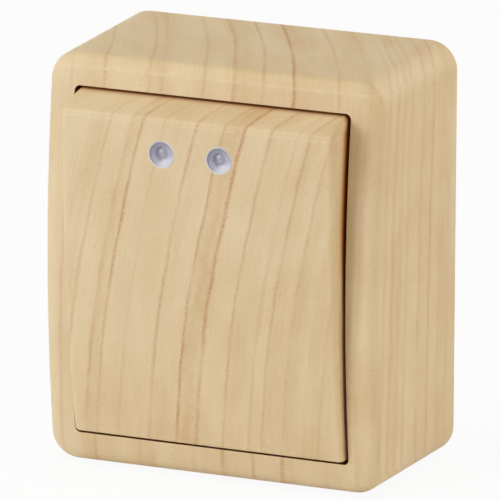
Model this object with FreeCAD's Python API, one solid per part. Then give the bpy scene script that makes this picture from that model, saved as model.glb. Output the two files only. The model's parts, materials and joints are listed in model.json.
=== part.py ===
"""Surface mounted light switch: a box shaped cover and one wide rocker over a screwed down mechanism.

Frame, in millimetres: the wall is the plane y = 0 and the switch stands in front of it, towards -Y.
X runs to the right as one faces the switch and Z is up. The origin is the middle of the back.
Distances from the wall are called "out" below, so a point lies at y = -out.
The rocker is modelled level, halfway through its travel, and then turned to its off position,
with its upper end standing proud.
"""
import FreeCAD, Part
import math
import os

os.makedirs("parts", exist_ok=True)

# cover
COVER_WIDTH = 63.3
COVER_HEIGHT = 74.0
COVER_DEPTH = 32.7           # out, at the upper and lower ends of the front
FRONT_BULGE = 2.8            # how far the middle of the front stands out beyond its ends
COVER_WALL = 2.0
COVER_DRAFT = 0.43           # each side leans in by this over the depth
COVER_CORNER = 5.0
COVER_EDGE_ROUND = 2.7
COVER_BORDER = 5.75          # beside the opening
OPENING_CORNER = 1.0
OPENING_MARGIN = 1.0         # of the cutting form beyond the collar and the front
COLLAR_WALL = 1.2
COLLAR_DEPTH = 7.0           # of the guard round the opening, behind the ends of the front

# rocker
ROCKER_PIVOT_DEPTH = 5.2     # behind the ends of the cover's front
ROCKER_TILT = 5.0            # degrees each way from level
ROCKER_END_BORDER = 7.5      # from the cover's ends to the rocker's creases when it is level
ROCKER_RISE = 10.3            # from the pivot out to the ends of the rocker's front
ROCKER_BULGE = 1.5
ROCKER_WALL = 1.8
ROCKER_SKIRT = 8.6           # depth of the rocker's walls behind its front
ROCKER_EDGE_ROUND = 0.8
ROCKER_CORNER = 0.9          # where the ends meet the sides
SIDE_GAP = 0.6               # between the rocker and the cover, each side
END_GAP = 0.45

# lenses in the rocker
LENS_RADIUS = 2.4
LENS_SPACING = 10.75
LENS_OFFSET = -1.1           # the middle of the pair from the rocker's middle
LENS_INSET = 6.2             # from the rocker's upper crease down to the lenses
LENS_FIT = 0.04
LENS_DISH = 0.75
LENS_DISH_RIM = 0.25
LENS_BOSS_RADIUS = 0.75
LENS_BOSS_HEIGHT = 0.35
LENS_FLANGE = 0.8
LENS_FLANGE_DEPTH = 0.8
LIGHT_PIPE_RADIUS = 1.5
LIGHT_PIPE_LENGTH = 6.2

# base
BASE_FLOOR = 2.0
BASE_WALL = 1.6
BASE_HEIGHT = 8.0
BASE_FIT = 0.3               # between the base and the cover's walls
FIXING_INSET = 9.0           # from the cover's ends to the middle of the slots
FIXING_RADIUS = 2.1
FIXING_SLOT = 6.5
FIXING_PAD = 1.6
FIXING_PAD_RISE = 0.8
CABLE_ENTRY_WIDTH = 14.0
CABLE_ENTRY_HEIGHT = 8.0
CABLE_ENTRY_X = -14.0
CABLE_ENTRY_INSET = 9.6      # from the cover's lower end to the entry's middle
CABLE_ENTRY_CORNER = 2.0

# screws that hold the cover
POST_INSET = 5.6             # from the cover's sides
POST_RADIUS = 2.9
POST_ROOM = 3.3              # between the screw's head and the collar
PILOT_FIT = 0.05
LUG_THICKNESS = 2.4
LUG_HEIGHT = 9.0
COVER_SCREW_RADIUS = 1.4
COVER_SCREW_LENGTH = 11.0
COVER_SCREW_HEAD_RADIUS = 2.6
COVER_SCREW_HEAD = 2.0
HOLE_CLEARANCE = 0.3
SLOT_WIDTH = 0.8
SLOT_SHARE = 0.5

# mechanism housing
HOUSING_WIDTH = 34.0
WIRING_ROOM = 17.0           # below the housing, from the cover's lower end
PIVOT_HEIGHT = 7.5           # from the housing's front up to the rocker's pivot
HOUSING_WALL = 1.6
HOUSING_SIDE_WALL = 3.0
EAR_THICKNESS = 2.0
EAR_WIDTH = 9.0
EAR_RIM = 2.4
CHANNEL_WIDTH = 7.2
PARTITION = 1.4
RIB = 1.2

# screws that hold the mechanism
BOSS_GAP = 0.2               # beside the housing
BOSS_INSET = 7.0             # from the housing's lower end
BOSS_RADIUS = 2.3
BOSS_HEIGHT = 3.4
FOOT_THICKNESS = 2.4
MECHANISM_SCREW_RADIUS = 1.25
MECHANISM_SCREW_LENGTH = 6.0
MECHANISM_SCREW_HEAD_RADIUS = 2.2
MECHANISM_SCREW_HEAD = 1.6

# cradle that carries the rocker
PIN_RADIUS = 1.6
PIN_FIT = 0.05
ARM_GAP = 0.3
ARM_THICKNESS = 2.0
ARM_WIDTH = 6.4
CRADLE_LENGTH = 24.0
CRADLE_PLATE = 2.4
CRADLE_PLATE_RISE = 1.6      # from the pivot out to the plate's back
TUBE_RADIUS = 3.0
TUBE_DEPTH = 6.5             # of the plunger's guide behind the pivot
SEAT_RIB = 1.4
SEAT_RIB_X = 8.0
HOOK_WIDTH = 5.0
HOOK_THICKNESS = 1.2
HOOK_BARB = 0.7
HOOK_TIP = 1.0
HOOK_FIT = 0.1

# plunger and its spring
PLUNGER_RADIUS = 1.95
PLUNGER_FIT = 0.05
PLUNGER_NOSE_RADIUS = 1.4
PLUNGER_REACH = 12.5         # from the pivot in to the tip
PLUNGER_NOSE = 2.7
PLUNGER_STEM_TOP = 3.0       # from the pivot in to the stem's flat end
PLUNGER_TRAVEL = 0.6
SPRING_WIRE = 0.36
SPRING_RADIUS = 1.45
SPRING_COILS = 6
SPRING_CLEARANCE = 0.3

# contact lever
LEVER_SWING = 6.0            # degrees each way from level
LEVER_THICKNESS = 1.0
LEVER_WIDTH = 4.5
LEVER_TAIL = 9.0
LEVER_GAP = 0.12             # to the plunger's tip when both are level
KNIFE_RADIUS = 0.6
KNIFE_FIT = 0.06
CONTACT_INSET = 6.0          # from the housing's lower end
CONTACT_RADIUS = 1.8
CONTACT_THICKNESS = 0.8
CONTACT_CLEARANCE = 0.1
RIVET_RADIUS = 0.7
RIVET_FIT = 0.05
LEVER_END = 1.0              # beyond the contact
STOP_THICKNESS = 1.4

# strips and terminals
STRIP = 0.8
STRIP_WIDTH = 5.0
STRIP_FIT = 0.2
TERMINAL_INNER_GAP = 1.1     # from the housing's partition
TERMINAL_OUTER_GAP = 2.3     # from the housing's side wall
TERMINAL_LENGTH = 7.6
TERMINAL_DEPTH = 8.0
TERMINAL_GAP = 0.4
WIRE_BORE = 1.8
WIRE_HOLE = 2.2
TERMINAL_SCREW_RADIUS = 1.5
TERMINAL_SCREW_FIT = 0.05
TERMINAL_SCREW_HEAD_RADIUS = 2.5
TERMINAL_SCREW_HEAD = 1.8
TERMINAL_SCREW_RAISE = 1.5   # head stands off the block, ready for a wire

# indicator
BOARD_THICKNESS = 1.2
BOARD_GAP = 0.4
BOARD_MARGIN = 0.9           # beyond the lamps and the resistor
BOARD_OVERHANG = 0.9         # of the lamps' middle beyond the housing's upper end
PEG_RADIUS = 0.8
PEG_FIT = 0.1
LED_RADIUS = 1.45
LED_HEIGHT = 2.8
LED_FLANGE = 0.25
LED_FLANGE_HEIGHT = 0.8
RESISTOR_RADIUS = 1.1
RESISTOR_LENGTH = 6.4
RESISTOR_LEG = 0.3
RESISTOR_SPAN = 10.2
RESISTOR_DROP = 5.4          # below the lamps
LEAD_RADIUS = 0.4
LEAD_HOLE = 0.5
LEAD_BEND = 1.6
LEAD_OFFSET = 1.4            # from the middle of the terminal, away from the lever
LEAD_TAIL = 0.6

# worked out from the sizes above
OPENING_WIDTH = COVER_WIDTH - 2 * COVER_BORDER
ROCKER_PIVOT_OUT = COVER_DEPTH - ROCKER_PIVOT_DEPTH
ROCKER_REACH = COVER_HEIGHT / 2 - ROCKER_END_BORDER
LENS_UP = ROCKER_REACH - LENS_INSET
FIXING_SPACING = COVER_HEIGHT - 2 * FIXING_INSET
CABLE_ENTRY_Z = CABLE_ENTRY_INSET - COVER_HEIGHT / 2
POST_X = COVER_WIDTH / 2 - POST_INSET
POST_OUT = COVER_DEPTH - COLLAR_DEPTH - POST_ROOM - COVER_SCREW_HEAD - LUG_THICKNESS
HOUSING_BOTTOM = WIRING_ROOM - COVER_HEIGHT / 2
HOUSING_TOP = LENS_UP - BOARD_OVERHANG
HOUSING_OUT = ROCKER_PIVOT_OUT - PIVOT_HEIGHT
BOSS_X = HOUSING_WIDTH / 2 + BOSS_GAP + BOSS_RADIUS
BOSS_Z = -HOUSING_BOTTOM - BOSS_INSET
CONTACT_REACH = -HOUSING_BOTTOM - CONTACT_INSET
POCKET_NEAR = CHANNEL_WIDTH / 2 + PARTITION
POCKET_FAR = HOUSING_WIDTH / 2 - HOUSING_WALL
TERMINAL_WIDTH = POCKET_FAR - POCKET_NEAR - TERMINAL_INNER_GAP - TERMINAL_OUTER_GAP
TERMINAL_X = POCKET_NEAR + TERMINAL_INNER_GAP + TERMINAL_WIDTH / 2
LEAD_X = TERMINAL_X + LEAD_OFFSET
FRONT_RADIUS = ((COVER_HEIGHT / 2) ** 2 + FRONT_BULGE ** 2) / (2 * FRONT_BULGE)
FRONT_CENTRE = COVER_DEPTH + FRONT_BULGE - FRONT_RADIUS
ROCKER_WIDTH = OPENING_WIDTH - 2 * SIDE_GAP
END_RADIUS = math.hypot(ROCKER_REACH, ROCKER_RISE)
ROCKER_ARC = (ROCKER_REACH ** 2 + ROCKER_BULGE ** 2) / (2 * ROCKER_BULGE)
ROCKER_ARC_CENTRE = ROCKER_RISE + ROCKER_BULGE - ROCKER_ARC
HOUSING_FLOOR = BASE_FLOOR + HOUSING_WALL
STRIP_TOP = HOUSING_FLOOR + STRIP
LEVER_TOP = ROCKER_PIVOT_OUT - PLUNGER_REACH - LEVER_GAP
LEVER_BACK = LEVER_TOP - LEVER_THICKNESS
KNIFE_OUT = LEVER_BACK - 0.3 * KNIFE_RADIUS
SWING = math.radians(LEVER_SWING)
MOVING_FACE = LEVER_BACK - CONTACT_THICKNESS - KNIFE_OUT
CLOSED_FACE = KNIFE_OUT + MOVING_FACE * math.cos(SWING) - (CONTACT_REACH + CONTACT_RADIUS) * math.sin(SWING)
FIXED_TAB = CLOSED_FACE - CONTACT_CLEARANCE - CONTACT_THICKNESS
TERMINAL_BOTTOM = HOUSING_BOTTOM + HOUSING_WALL + TERMINAL_GAP
TERMINAL_TOP = TERMINAL_BOTTOM + TERMINAL_LENGTH
WIRE_OUT = STRIP_TOP + TERMINAL_DEPTH / 2
BOARD_BOTTOM = LENS_UP - RESISTOR_DROP - RESISTOR_RADIUS - BOARD_MARGIN
BOARD_TOP = LENS_UP + LED_RADIUS + BOARD_MARGIN
CAVITY_BOTTOM = BOARD_BOTTOM + RIB


def box(x0, x1, out0, out1, z0, z1):
    """A box between two distances from the wall."""
    corner = FreeCAD.Vector(x0, -out1, z0)
    return Part.makeBox(x1 - x0, out1 - out0, z1 - z0, corner)


def rod_out(radius, out0, out1, x, z):
    """A round bar that points away from the wall."""
    return Part.makeCylinder(radius, out1 - out0, FreeCAD.Vector(x, -out0, z), FreeCAD.Vector(0, -1, 0))


def rod_x(radius, x0, x1, out, z):
    """A round bar along X."""
    return Part.makeCylinder(radius, x1 - x0, FreeCAD.Vector(x0, -out, z), FreeCAD.Vector(1, 0, 0))


def rod_z(radius, z0, z1, x, out):
    """A round bar along Z."""
    return Part.makeCylinder(radius, z1 - z0, FreeCAD.Vector(x, -out, z0), FreeCAD.Vector(0, 0, 1))


def rounded_outline(width, height, radius, out, x=0.0, z=0.0):
    """A rounded rectangle parallel to the wall, as a wire."""
    flat = rounded_plate(width, height, radius, out, out + 1.0, x, z)
    faces = [face for face in flat.Faces if abs(face.CenterOfMass.y + out) < 1e-6]
    return faces[0].OuterWire


def rounded_plate(width, height, radius, out0, out1, x=0.0, z=0.0):
    """A plate with rounded corners, parallel to the wall."""
    plate = box(x - width / 2, x + width / 2, out0, out1, z - height / 2, z + height / 2)
    corners = [e for e in plate.Edges if abs(e.tangentAt(e.FirstParameter).y) > 0.99]
    return plate.makeFillet(radius, corners)


def turned(shape, degrees, out, z=0.0):
    """Turns a shape about an axis along X, upper end outwards for a positive angle."""
    copy = shape.copy()
    copy.rotate(FreeCAD.Vector(0, -out, z), FreeCAD.Vector(1, 0, 0), degrees)
    return copy


def slotted_head(radius, height, out, x, z):
    """A low cheese head with a screwdriver slot."""
    head = rod_out(radius, out, out + height, x, z)
    depth = height * SLOT_SHARE
    top = out + height
    slot = box(x - radius, x + radius, top - depth, top, z - SLOT_WIDTH / 2, z + SLOT_WIDTH / 2)
    return head.cut(slot)


def slotted_screw(radius, length, head_radius, head_height, out, x, z):
    """A slotted screw: out is where the underside of its head seats."""
    shank = rod_out(radius, out - length, out, x, z)
    return shank.fuse(slotted_head(head_radius, head_height, out, x, z)).removeSplitter()


def drafted_block(width, height, corner, depth):
    """The cover's outline, leaning in slightly from the wall to the front."""
    lean = COVER_DRAFT * depth / COVER_DEPTH
    back = rounded_outline(width, height, corner, 0.0)
    front = rounded_outline(width - 2 * lean, height - 2 * lean, corner, depth)
    return Part.makeLoft([back, front], True, True)


def front_limit(inset):
    """A wide cylinder whose face is the bulging front, or a copy inset from it."""
    return rod_x(FRONT_RADIUS - inset, -COVER_WIDTH, COVER_WIDTH, FRONT_CENTRE, 0.0)


def opening_prism(grow):
    """The space of the opening: straight sides, and ends round the rocker's pivot."""
    half = OPENING_WIDTH / 2 + grow
    sides = box(-half, half, COVER_DEPTH - COLLAR_DEPTH - OPENING_MARGIN,
                COVER_DEPTH + FRONT_BULGE + OPENING_MARGIN, -COVER_HEIGHT, COVER_HEIGHT)
    prism = rod_x(END_RADIUS + END_GAP + grow, -half, half, ROCKER_PIVOT_OUT, 0.0).common(sides)
    return prism.makeFillet(OPENING_CORNER + grow, end_corners(prism))


def end_corners(prism):
    """The edges where round ends meet flat sides."""
    return [e for e in prism.Edges if e.BoundBox.XLength < 1e-6 and isinstance(e.Curve, Part.Circle)]


def make_cover():
    tall = COVER_DEPTH + 2 * FRONT_BULGE
    outer = drafted_block(COVER_WIDTH, COVER_HEIGHT, COVER_CORNER, tall).common(front_limit(0.0))
    rim = [e for e in outer.Edges if e.BoundBox.YMax < -0.8 * COVER_DEPTH]
    outer = outer.makeFillet(COVER_EDGE_ROUND, rim)
    inner_corner = COVER_CORNER - COVER_WALL
    inside = drafted_block(COVER_WIDTH - 2 * COVER_WALL, COVER_HEIGHT - 2 * COVER_WALL, inner_corner, tall)
    shell = outer.cut(inside.common(front_limit(COVER_WALL)))
    collar = opening_prism(COLLAR_WALL).common(front_limit(COVER_WALL / 2))
    collar = collar.cut(box(-COVER_WIDTH, COVER_WIDTH, -1.0, COVER_DEPTH - COLLAR_DEPTH,
                            -COVER_HEIGHT, COVER_HEIGHT))
    shell = shell.fuse(collar).cut(opening_prism(0.0))
    for side in (-1, 1):
        reach = sorted((side * (POST_X - POST_RADIUS), side * (COVER_WIDTH / 2 - COVER_WALL / 2)))
        lug = box(reach[0], reach[1], POST_OUT, POST_OUT + LUG_THICKNESS, -LUG_HEIGHT / 2, LUG_HEIGHT / 2)
        hole = rod_out(COVER_SCREW_RADIUS + HOLE_CLEARANCE, 0.0, COVER_DEPTH, side * POST_X, 0.0)
        shell = shell.fuse(lug).cut(hole)
    return shell.removeSplitter()


def make_base():
    width = COVER_WIDTH - 2 * (COVER_WALL + BASE_FIT)
    height = COVER_HEIGHT - 2 * (COVER_WALL + BASE_FIT)
    lean = 2 * COVER_DRAFT * BASE_HEIGHT / COVER_DEPTH
    corner = COVER_CORNER - COVER_WALL - BASE_FIT
    inner = corner - BASE_WALL
    base = rounded_plate(width - lean, height - lean, corner, 0.0, BASE_HEIGHT)
    inside = rounded_plate(width - lean - 2 * BASE_WALL, height - lean - 2 * BASE_WALL, inner,
                           BASE_FLOOR, BASE_HEIGHT)
    base = base.cut(inside)
    for side in (-1, 1):
        base = base.fuse(rod_out(POST_RADIUS, BASE_FLOOR, POST_OUT, side * POST_X, 0.0))
        boss = rod_out(BOSS_RADIUS, BASE_FLOOR, BASE_FLOOR + BOSS_HEIGHT, side * BOSS_X, -side * BOSS_Z)
        base = base.fuse(boss)
        pad = rounded_plate(2 * (FIXING_RADIUS + FIXING_PAD), FIXING_SLOT + 2 * FIXING_PAD,
                            FIXING_RADIUS + FIXING_PAD - 0.01, BASE_FLOOR, BASE_FLOOR + FIXING_PAD_RISE,
                            0.0, side * FIXING_SPACING / 2)
        base = base.fuse(pad)
    for side in (-1, 1):
        post_hole = rod_out(COVER_SCREW_RADIUS + PILOT_FIT, POST_OUT - COVER_SCREW_LENGTH, POST_OUT,
                            side * POST_X, 0.0)
        boss_top = BASE_FLOOR + BOSS_HEIGHT
        pilot_depth = MECHANISM_SCREW_LENGTH - FOOT_THICKNESS + PILOT_FIT
        boss_hole = rod_out(MECHANISM_SCREW_RADIUS + PILOT_FIT, boss_top - pilot_depth, boss_top,
                            side * BOSS_X, -side * BOSS_Z)
        slot = rounded_plate(2 * FIXING_RADIUS, FIXING_SLOT, FIXING_RADIUS - 0.001, -1.0, BASE_HEIGHT,
                             0.0, side * FIXING_SPACING / 2)
        base = base.cut(post_hole).cut(boss_hole).cut(slot)
    entry = rounded_plate(CABLE_ENTRY_WIDTH, CABLE_ENTRY_HEIGHT, CABLE_ENTRY_CORNER, -1.0, BASE_HEIGHT,
                          CABLE_ENTRY_X, CABLE_ENTRY_Z)
    return base.cut(entry).removeSplitter()


def make_housing():
    half = HOUSING_WIDTH / 2
    wall = HOUSING_WALL
    housing = box(-half, half, BASE_FLOOR, HOUSING_OUT, HOUSING_BOTTOM, HOUSING_TOP)
    bottom = HOUSING_BOTTOM + wall
    channel = CHANNEL_WIDTH / 2
    housing = housing.cut(box(-channel, channel, HOUSING_FLOOR, HOUSING_OUT, bottom, BOARD_BOTTOM))
    housing = housing.cut(box(-half + HOUSING_SIDE_WALL, half - HOUSING_SIDE_WALL, HOUSING_FLOOR, HOUSING_OUT,
                              CAVITY_BOTTOM, HOUSING_TOP - wall))
    for side in (-1, 1):
        x0, x1 = sorted((side * POCKET_NEAR, side * POCKET_FAR))
        rib = TERMINAL_TOP + TERMINAL_GAP
        housing = housing.cut(box(x0, x1, HOUSING_FLOOR, HOUSING_OUT, bottom, rib))
        housing = housing.cut(box(x0, x1, HOUSING_FLOOR, HOUSING_OUT, rib + RIB, BOARD_BOTTOM))
        housing = housing.cut(rod_z(WIRE_HOLE, HOUSING_BOTTOM, bottom, side * TERMINAL_X, WIRE_OUT))
        housing = housing.cut(rod_z(LEAD_HOLE, rib, CAVITY_BOTTOM, side * LEAD_X, WIRE_OUT))
        housing = housing.fuse(housing_ear(side)).fuse(housing_foot(side))
        peg = rod_out(PEG_RADIUS, HOUSING_OUT, HOUSING_OUT + BOARD_THICKNESS + PEG_RADIUS,
                      side * (half - HOUSING_SIDE_WALL / 2), LENS_UP - RESISTOR_DROP)
        housing = housing.fuse(peg)
        housing = housing.cut(rod_x(PIN_RADIUS + PIN_FIT, *ear_span(side), ROCKER_PIVOT_OUT, 0.0))
        housing = housing.cut(rod_out(MECHANISM_SCREW_RADIUS + HOLE_CLEARANCE, BASE_FLOOR, HOUSING_OUT,
                                      side * BOSS_X, -side * BOSS_Z))
    housing = housing.cut(strip_notches())
    stop_z = LEVER_TAIL - STOP_THICKNESS
    stop_top = KNIFE_OUT + (LEVER_BACK - KNIFE_OUT) * math.cos(SWING) - LEVER_TAIL * math.sin(SWING)
    stop = box(-channel, channel, HOUSING_FLOOR, stop_top - CONTACT_CLEARANCE, stop_z, LEVER_TAIL)
    return housing.fuse(stop).removeSplitter()


def ear_span(side):
    """The two x values of one pivot ear, low one first."""
    return sorted((side * HOUSING_WIDTH / 2, side * (HOUSING_WIDTH / 2 - EAR_THICKNESS)))


def housing_ear(side):
    """An upright ear with a round top, which the cradle's pin turns in."""
    x0, x1 = ear_span(side)
    radius = PIN_RADIUS + EAR_RIM
    post = box(x0, x1, HOUSING_OUT, ROCKER_PIVOT_OUT, -radius, radius)
    root_top = HOUSING_OUT + EAR_THICKNESS
    root = box(x0, x1, HOUSING_OUT - EAR_THICKNESS, root_top, -EAR_WIDTH / 2, EAR_WIDTH / 2)
    return post.fuse(rod_x(radius, x0, x1, ROCKER_PIVOT_OUT, 0.0)).fuse(root)


def housing_foot(side):
    """A lug that lies on the base's boss, under the screw."""
    seat = BASE_FLOOR + BOSS_HEIGHT
    x0, x1 = sorted((side * HOUSING_WIDTH / 2, side * BOSS_X))
    z = -side * BOSS_Z
    arm = box(x0, x1, seat, seat + FOOT_THICKNESS, z - BOSS_RADIUS, z + BOSS_RADIUS)
    return arm.fuse(rod_out(BOSS_RADIUS, seat, seat + FOOT_THICKNESS, side * BOSS_X, z))


def fulcrum_foot(grow):
    """The flat part of the line side's strip, or the room for it in the housing."""
    low = HOUSING_FLOOR
    high = STRIP_TOP + grow
    x0 = -TERMINAL_X - STRIP_WIDTH / 2 - grow
    x1 = -TERMINAL_X + STRIP_WIDTH / 2 + grow
    along = box(x0, x1, low, high, TERMINAL_BOTTOM, STRIP_WIDTH / 2 + grow)
    across = box(x0, LEVER_WIDTH / 2 + grow, low, high, -STRIP_WIDTH / 2 - grow, STRIP_WIDTH / 2 + grow)
    return along.fuse(across)


def load_foot(grow):
    """The flat part of the load side's strip, or the room for it in the housing."""
    low = HOUSING_FLOOR
    high = STRIP_TOP + grow
    x1 = TERMINAL_X + STRIP_WIDTH / 2 + grow
    z0 = -CONTACT_REACH - STRIP_WIDTH / 2
    return box(-LEVER_WIDTH / 2 - grow, x1, low, high, z0 - grow, z0 + STRIP_WIDTH + grow)


def strip_notches():
    """Where the two strips pass under the housing's inner walls."""
    return fulcrum_foot(STRIP_FIT).fuse(load_foot(STRIP_FIT))


def make_fulcrum_strip():
    half = LEVER_WIDTH / 2
    upright = box(-half, half, HOUSING_FLOOR, KNIFE_OUT, -KNIFE_RADIUS, KNIFE_RADIUS)
    knife = rod_x(KNIFE_RADIUS, -half, half, KNIFE_OUT, 0.0)
    return fulcrum_foot(0.0).fuse(upright).fuse(knife).removeSplitter()


def make_load_strip():
    half = LEVER_WIDTH / 2
    z0 = -CONTACT_REACH - STRIP_WIDTH / 2
    z1 = -CONTACT_REACH + STRIP_WIDTH / 2
    upright = box(-half, half, HOUSING_FLOOR, FIXED_TAB, z0, z0 + STRIP)
    tab = box(-half, half, FIXED_TAB - STRIP, FIXED_TAB, z0, z1)
    hole = rod_out(RIVET_RADIUS + RIVET_FIT, FIXED_TAB - STRIP, FIXED_TAB, 0.0, -CONTACT_REACH)
    return load_foot(0.0).fuse(upright).fuse(tab).cut(hole).removeSplitter()


def make_fixed_contact():
    face = rod_out(CONTACT_RADIUS, FIXED_TAB, FIXED_TAB + CONTACT_THICKNESS, 0.0, -CONTACT_REACH)
    shank = rod_out(RIVET_RADIUS, FIXED_TAB - STRIP, FIXED_TAB, 0.0, -CONTACT_REACH)
    return face.fuse(shank).removeSplitter()


def lever_turned(shape):
    """Turns a piece of the lever to the off position, contact end out."""
    return turned(shape, -LEVER_SWING, KNIFE_OUT)


def make_contact_lever():
    half = LEVER_WIDTH / 2
    end = CONTACT_REACH + CONTACT_RADIUS + LEVER_END
    blade = box(-half, half, LEVER_BACK, LEVER_TOP, -end, LEVER_TAIL)
    cheek = box(-half, half, KNIFE_OUT, LEVER_BACK, -2 * KNIFE_RADIUS, 2 * KNIFE_RADIUS)
    groove = rod_x(KNIFE_RADIUS + KNIFE_FIT, -half, half, KNIFE_OUT, 0.0)
    hole = rod_out(RIVET_RADIUS + RIVET_FIT, LEVER_BACK, LEVER_TOP, 0.0, -CONTACT_REACH)
    return lever_turned(blade.fuse(cheek).cut(groove).cut(hole).removeSplitter())


def make_moving_contact():
    face = rod_out(CONTACT_RADIUS, LEVER_BACK - CONTACT_THICKNESS, LEVER_BACK, 0.0, -CONTACT_REACH)
    shank = rod_out(RIVET_RADIUS, LEVER_BACK, LEVER_TOP, 0.0, -CONTACT_REACH)
    return lever_turned(face.fuse(shank).removeSplitter())


def make_terminal(side):
    x = side * TERMINAL_X
    half = TERMINAL_WIDTH / 2
    top = STRIP_TOP + TERMINAL_DEPTH
    block = box(x - half, x + half, STRIP_TOP, top, TERMINAL_BOTTOM, TERMINAL_TOP)
    bore = rod_z(WIRE_BORE, TERMINAL_BOTTOM, TERMINAL_TOP, x, WIRE_OUT)
    thread = rod_out(TERMINAL_SCREW_RADIUS + TERMINAL_SCREW_FIT, WIRE_OUT, top, x,
                     (TERMINAL_BOTTOM + TERMINAL_TOP) / 2)
    return block.cut(bore).cut(thread)


def make_terminal_screw(side):
    seat = STRIP_TOP + TERMINAL_DEPTH + TERMINAL_SCREW_RAISE
    length = TERMINAL_SCREW_RAISE + TERMINAL_DEPTH / 2 - WIRE_BORE / 2
    return slotted_screw(TERMINAL_SCREW_RADIUS, length, TERMINAL_SCREW_HEAD_RADIUS,
                         TERMINAL_SCREW_HEAD, seat, side * TERMINAL_X,
                         (TERMINAL_BOTTOM + TERMINAL_TOP) / 2)


def make_cover_screw(side):
    return slotted_screw(COVER_SCREW_RADIUS, COVER_SCREW_LENGTH + LUG_THICKNESS, COVER_SCREW_HEAD_RADIUS,
                         COVER_SCREW_HEAD, POST_OUT + LUG_THICKNESS, side * POST_X, 0.0)


def make_mechanism_screw(side):
    seat = BASE_FLOOR + BOSS_HEIGHT + FOOT_THICKNESS
    return slotted_screw(MECHANISM_SCREW_RADIUS, MECHANISM_SCREW_LENGTH, MECHANISM_SCREW_HEAD_RADIUS,
                         MECHANISM_SCREW_HEAD, seat, side * BOSS_X, -side * BOSS_Z)


def lens_x(side):
    """Where one lens lies across the rocker."""
    return LENS_OFFSET + side * LENS_SPACING / 2


def make_board():
    half = HOUSING_WIDTH / 2 - BOARD_GAP
    board = box(-half, half, HOUSING_OUT, HOUSING_OUT + BOARD_THICKNESS, BOARD_BOTTOM, BOARD_TOP)
    for side in (-1, 1):
        peg_x = side * (HOUSING_WIDTH / 2 - HOUSING_SIDE_WALL / 2)
        board = board.cut(rod_out(PEG_RADIUS + PEG_FIT, 0.0, COVER_DEPTH, peg_x, LENS_UP - RESISTOR_DROP))
        board = board.cut(rod_out(LEAD_HOLE, 0.0, COVER_DEPTH, side * LEAD_X, lead_z()))
        leg_x = side * RESISTOR_SPAN / 2
        board = board.cut(rod_out(LEAD_HOLE, 0.0, COVER_DEPTH, leg_x, LENS_UP - RESISTOR_DROP))
    return board


def lead_z():
    """Where the leads pass up through the board."""
    return CAVITY_BOTTOM + 2 * LEAD_BEND


def make_led(side):
    foot = HOUSING_OUT + BOARD_THICKNESS
    x = lens_x(side)
    flange = rod_out(LED_RADIUS + LED_FLANGE, foot, foot + LED_FLANGE_HEIGHT, x, LENS_UP)
    body = rod_out(LED_RADIUS, foot, foot + LED_HEIGHT, x, LENS_UP)
    dome = Part.makeSphere(LED_RADIUS, FreeCAD.Vector(x, -foot - LED_HEIGHT, LENS_UP))
    return flange.fuse(body).fuse(dome).removeSplitter()


def make_resistor():
    """An axial resistor that lies on the board, its legs bent down through it."""
    axis_out = HOUSING_OUT + BOARD_THICKNESS + RESISTOR_RADIUS
    z = LENS_UP - RESISTOR_DROP
    body = rod_x(RESISTOR_RADIUS, -RESISTOR_LENGTH / 2, RESISTOR_LENGTH / 2, axis_out, z)
    wire = rod_x(RESISTOR_LEG, -RESISTOR_SPAN / 2, RESISTOR_SPAN / 2, axis_out, z)
    body = body.fuse(wire)
    for side in (-1, 1):
        x = side * RESISTOR_SPAN / 2
        body = body.fuse(rod_out(RESISTOR_LEG, HOUSING_OUT, axis_out, x, z))
        body = body.fuse(Part.makeSphere(RESISTOR_LEG, FreeCAD.Vector(x, -axis_out, z)))
    return body.removeSplitter()


def make_lead(side):
    """A stiff wire from a terminal block up to the indicator board."""
    x = side * LEAD_X
    start = FreeCAD.Vector(x, -WIRE_OUT, TERMINAL_TOP)
    bend_start = FreeCAD.Vector(x, -WIRE_OUT, lead_z() - LEAD_BEND)
    bend_end = FreeCAD.Vector(x, -WIRE_OUT - LEAD_BEND, lead_z())
    slant = LEAD_BEND * (1 - math.sqrt(0.5))
    bend_middle = FreeCAD.Vector(x, -WIRE_OUT - slant, lead_z() - slant)
    end = FreeCAD.Vector(x, -HOUSING_OUT - BOARD_THICKNESS - LEAD_TAIL, lead_z())
    edges = [Part.makeLine(start, bend_start), Part.Arc(bend_start, bend_middle, bend_end).toShape(),
             Part.makeLine(bend_end, end)]
    section = Part.Wire(Part.makeCircle(LEAD_RADIUS, start, FreeCAD.Vector(0, 0, 1)))
    return Part.Wire(edges).makePipeShell([section], True, False)


def rocker_turned(shape):
    """Turns a piece of the rocker from level to the off position, upper end out."""
    return turned(shape, ROCKER_TILT, ROCKER_PIVOT_OUT)


def rocker_profile(inset):
    """The rocker seen from its side: a bulging front between ends round the pivot."""
    end = END_RADIUS - inset
    arc = ROCKER_ARC - inset
    low = ROCKER_RISE - ROCKER_SKIRT
    block = rod_x(end, -ROCKER_WIDTH / 2 + inset, ROCKER_WIDTH / 2 - inset, ROCKER_PIVOT_OUT, 0.0)
    front = rod_x(arc, -ROCKER_WIDTH, ROCKER_WIDTH, ROCKER_PIVOT_OUT + ROCKER_ARC_CENTRE, 0.0)
    behind = box(-ROCKER_WIDTH, ROCKER_WIDTH, ROCKER_PIVOT_OUT - 2 * END_RADIUS, ROCKER_PIVOT_OUT + low,
                 -2 * END_RADIUS, 2 * END_RADIUS)
    return block.common(front).cut(behind)


def rounded_rocker():
    """The rocker's outer form, with its upright corners and then its front edge rounded."""
    block = rocker_profile(0.0)
    corners = [e for e in end_corners(block) if abs(e.Curve.Radius - END_RADIUS) < 1e-6]
    block = block.makeFillet(ROCKER_CORNER, corners)
    half = ROCKER_WIDTH / 2
    crest = ROCKER_PIVOT_OUT + ROCKER_RISE
    sides = [e for e in block.Edges if abs(abs(e.CenterOfMass.x) - half) < 1e-3 and -e.CenterOfMass.y > crest]
    return block.makeFillet(ROCKER_EDGE_ROUND, sides)


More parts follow.
